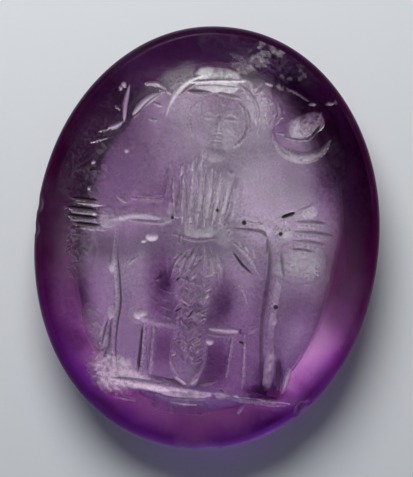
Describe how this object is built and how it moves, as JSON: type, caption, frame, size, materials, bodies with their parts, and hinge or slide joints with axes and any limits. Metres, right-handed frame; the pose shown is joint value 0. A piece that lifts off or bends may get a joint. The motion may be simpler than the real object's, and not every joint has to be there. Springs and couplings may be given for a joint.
{
  "type": "amethyst intaglio",
  "caption": "Oval ringstone of clear violet amethyst, its low domed face engraved with a standing cult figure, stags, a star and a crescent; flat back and inward sloping sides.",
  "frame": {"origin": "on the flat back, under the middle of the stone's outline", "axes": "+Z out of the engraved face, +Y along the stone's length towards the figure's head, +X to the right as the face is seen"},
  "size_m": [0.013, 0.016, 0.003],
  "materials": {
    "amethyst": "clear violet quartz, paler in the middle, polished on the face and frosted in the cuts"
  },
  "bodies": {
    "root": {"intaglio_stone": "amethyst"}
  },
  "joints": []
}
